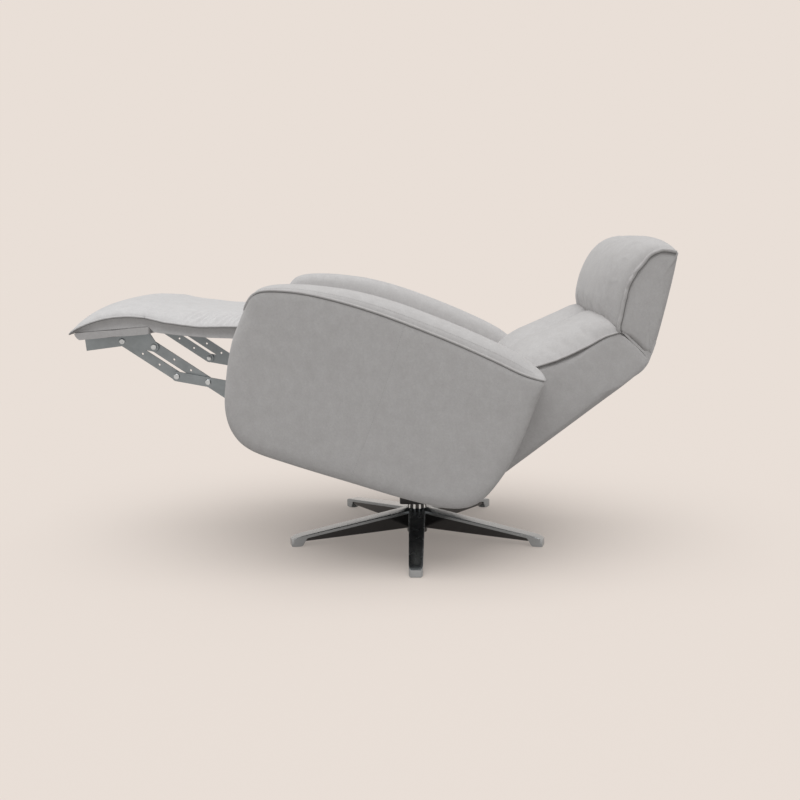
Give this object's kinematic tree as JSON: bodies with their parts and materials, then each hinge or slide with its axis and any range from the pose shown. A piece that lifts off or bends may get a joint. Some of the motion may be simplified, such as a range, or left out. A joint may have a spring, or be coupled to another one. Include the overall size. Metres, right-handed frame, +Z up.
{
  "type": "star base swivel recliner",
  "caption": "Upholstered swivel recliner on a low metal star base, reclined, with its leg rest out on folding links and its headrest flipped up.",
  "frame": {"origin": "on the floor, under the middle of the reclined chair", "axes": "+X to the sitter's left, +Y to the rear, +Z up; the leg rest points along -Y"},
  "size_m": [0.77, 1.4814, 0.8257],
  "materials": {
    "upholstery": "light grey brushed microfibre with a soft mottled nap",
    "polished_base": "polished die casting",
    "grey_plastic": "moulded grey",
    "bearing_plastic": "moulded, self-lubricating",
    "zinc_steel": "bright zinc plated",
    "black_plastic": "black, fine grain",
    "dark_steel": "dark powder coat",
    "link_steel": "satin grey coat",
    "webbing": "woven elastic webbing",
    "plywood": "unfinished plywood"
  },
  "bodies": {
    "base": {"star_base": "polished_base", "foot_glides": "grey_plastic", "hub_bush": "bearing_plastic"},
    "swivel": {"spindle": "zinc_steel", "spindle_clip": "zinc_steel", "thrust_washer": "bearing_plastic", "swivel_housing": "black_plastic", "tilt_bracket": "dark_steel", "tilt_bushes": "bearing_plastic"},
    "seat": {"tilt_shaft": "zinc_steel", "mechanism_plate_left": "dark_steel", "mechanism_plate_right": "dark_steel", "front_rail": "dark_steel", "rear_rail": "dark_steel", "seat_webbing": "webbing", "seat_cushion": "upholstery", "arm_left": "upholstery", "arm_right": "upholstery", "arm_board_left": "plywood", "arm_board_right": "plywood", "arm_bolts": "zinc_steel", "footrest_pivot_pins": "zinc_steel", "control_pivot_pins": "zinc_steel", "back_pivot_pins": "zinc_steel", "calf_pad": "upholstery"},
    "back": {"back_cover": "upholstery", "back_cushion": "upholstery", "back_bar_left": "dark_steel", "back_bar_right": "dark_steel", "back_cross_tubes": "dark_steel", "headrest_rod": "zinc_steel"},
    "headrest": {"headrest_cover": "upholstery", "headrest_cushion": "upholstery", "headrest_bar_left": "dark_steel", "headrest_bar_right": "dark_steel", "headrest_cross_tube": "dark_steel"},
    "rear_link": {"rear_link_left": "link_steel", "rear_link_right": "link_steel", "link_cross_tube": "link_steel", "rear_link_rivets": "zinc_steel"},
    "upper_link": {"upper_link_left": "link_steel", "upper_link_right": "link_steel"},
    "front_link": {"front_link_left": "link_steel", "front_link_right": "link_steel"},
    "control_link": {"control_link_left": "link_steel", "control_link_right": "link_steel", "control_link_rivets": "zinc_steel"},
    "footrest": {"footrest_bracket_left": "link_steel", "footrest_bracket_right": "link_steel", "footrest_board": "plywood", "footrest_cushion": "upholstery", "bracket_rivets": "zinc_steel", "board_screws": "zinc_steel"}
  },
  "joints": [
    {"name": "base_swivel", "type": "hinge", "parent": "base", "child": "swivel", "pos_m": [0, 0.115, 0.08], "axis": [0, 0, 1], "continuous": true},
    {"name": "seat_tilt", "type": "hinge", "parent": "swivel", "child": "seat", "pos_m": [0, 0.115, 0.18], "axis": [1, 0, 0], "range_deg": [0, 18]},
    {"name": "back_recline", "type": "hinge", "parent": "seat", "child": "back", "pos_m": [0, 0.26682, 0.32204], "axis": [1, 0, 0], "range_deg": [0, 26]},
    {"name": "headrest_tilt", "type": "hinge", "parent": "back", "child": "headrest", "pos_m": [0, 0.68089, 0.53312], "axis": [1, 0, 0], "range_deg": [-39.3, 0]},
    {"name": "footrest_fold", "type": "hinge", "parent": "seat", "child": "rear_link", "pos_m": [0, -0.29105, 0.43895], "axis": [1, 0, 0], "range_deg": [0, 82.6], "deforming": ["calf_pad"]},
    {"name": "upper_link_fold", "type": "hinge", "parent": "rear_link", "child": "upper_link", "pos_m": [0, -0.41392, 0.46195], "axis": [1, 0, 0], "range_deg": [-133, 0]},
    {"name": "front_link_fold", "type": "hinge", "parent": "rear_link", "child": "front_link", "pos_m": [0, -0.49393, 0.47692], "axis": [1, 0, 0], "range_deg": [-133, 0]},
    {"name": "footrest_pivot", "type": "hinge", "parent": "front_link", "child": "footrest", "pos_m": [0, -0.62906, 0.56807], "axis": [1, 0, 0], "range_deg": [0, 133]},
    {"name": "control_link_swing", "type": "hinge", "parent": "seat", "child": "control_link", "pos_m": [0, -0.18332, 0.34382], "axis": [1, 0, 0], "range_deg": [0, 62.42]}
  ],
  "couplings": [
    {"joint": "back_recline", "follows": "seat_tilt", "ratio": 1.4444},
    {"joint": "upper_link_fold", "follows": "footrest_fold", "ratio": -1.6053},
    {"joint": "front_link_fold", "follows": "footrest_fold", "ratio": -1.6053},
    {"joint": "footrest_pivot", "follows": "footrest_fold", "ratio": 1.6053},
    {"joint": "control_link_swing", "follows": "footrest_fold", "ratio": 0.75081}
  ]
}
